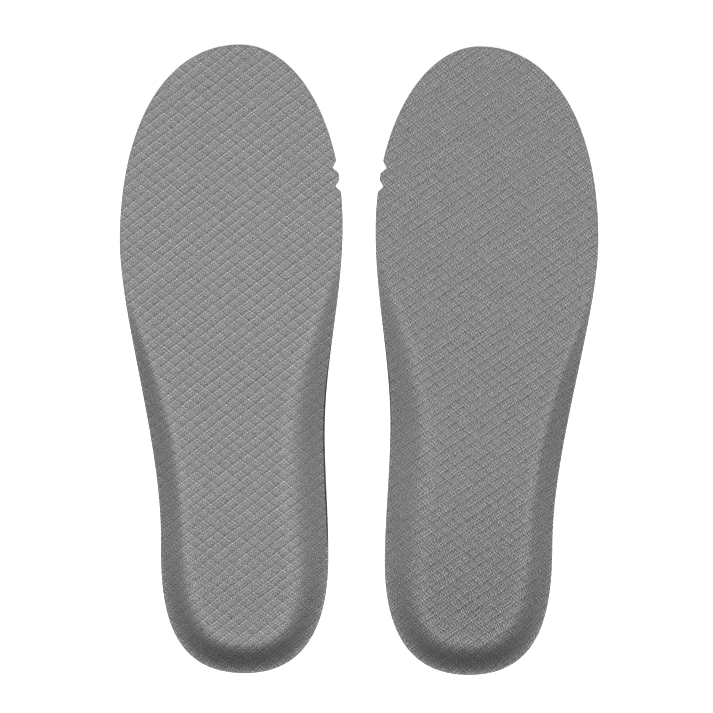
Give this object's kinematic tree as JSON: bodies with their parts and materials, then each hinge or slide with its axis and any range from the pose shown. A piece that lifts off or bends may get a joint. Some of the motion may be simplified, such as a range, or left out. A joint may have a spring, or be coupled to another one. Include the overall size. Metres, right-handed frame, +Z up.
{
  "type": "cushioned insole pair",
  "caption": "Left and right cushioned shoe insoles with a grey fabric cover over foam, a raised heel cup and side walls, and soft pads set into the underside.",
  "frame": {"origin": "on the floor, midway between the two insoles and halfway along their length: the bottom centre of the bounding box", "axes": "+Z up, from the floor to the fabric side; +Y from the heels to the toes; +X from the left insole to the right one"},
  "size_m": [0.206, 0.27, 0.0215],
  "materials": {
    "cover_fabric": "matte",
    "comfort_foam": "matte",
    "footbed_foam": "matte",
    "pad_rubber": "matte"
  },
  "bodies": {
    "left_rear": {"left_top_cover_rear": "cover_fabric", "left_comfort_foam_rear": "comfort_foam", "left_footbed_rear": "footbed_foam", "left_heel_pad": "pad_rubber"},
    "left_front": {"left_top_cover_front": "cover_fabric", "left_comfort_foam_front": "comfort_foam", "left_footbed_front": "footbed_foam", "left_forefoot_pad": "pad_rubber"},
    "right_rear": {"right_top_cover_rear": "cover_fabric", "right_comfort_foam_rear": "comfort_foam", "right_footbed_rear": "footbed_foam", "right_heel_pad": "pad_rubber"},
    "right_front": {"right_top_cover_front": "cover_fabric", "right_comfort_foam_front": "comfort_foam", "right_footbed_front": "footbed_foam", "right_forefoot_pad": "pad_rubber"}
  },
  "joints": [
    {"name": "left_toe_flex", "type": "hinge", "parent": "left_rear", "child": "left_front", "pos_m": [-0.055, 0.0455, 0.0055], "axis": [0.981, 0.1941, 0], "range_deg": [0, 60], "stiffness_Nm_per_rad": 0.05},
    {"name": "right_toe_flex", "type": "hinge", "parent": "right_rear", "child": "right_front", "pos_m": [0.055, 0.0455, 0.0055], "axis": [0.981, -0.1941, 0], "range_deg": [0, 60], "stiffness_Nm_per_rad": 0.05},
    {"name": "right_insole_slide", "type": "slide", "parent": "left_rear", "child": "right_rear", "axis": [1, 0, 0], "range_m": [-0.012, 0.1]}
  ]
}
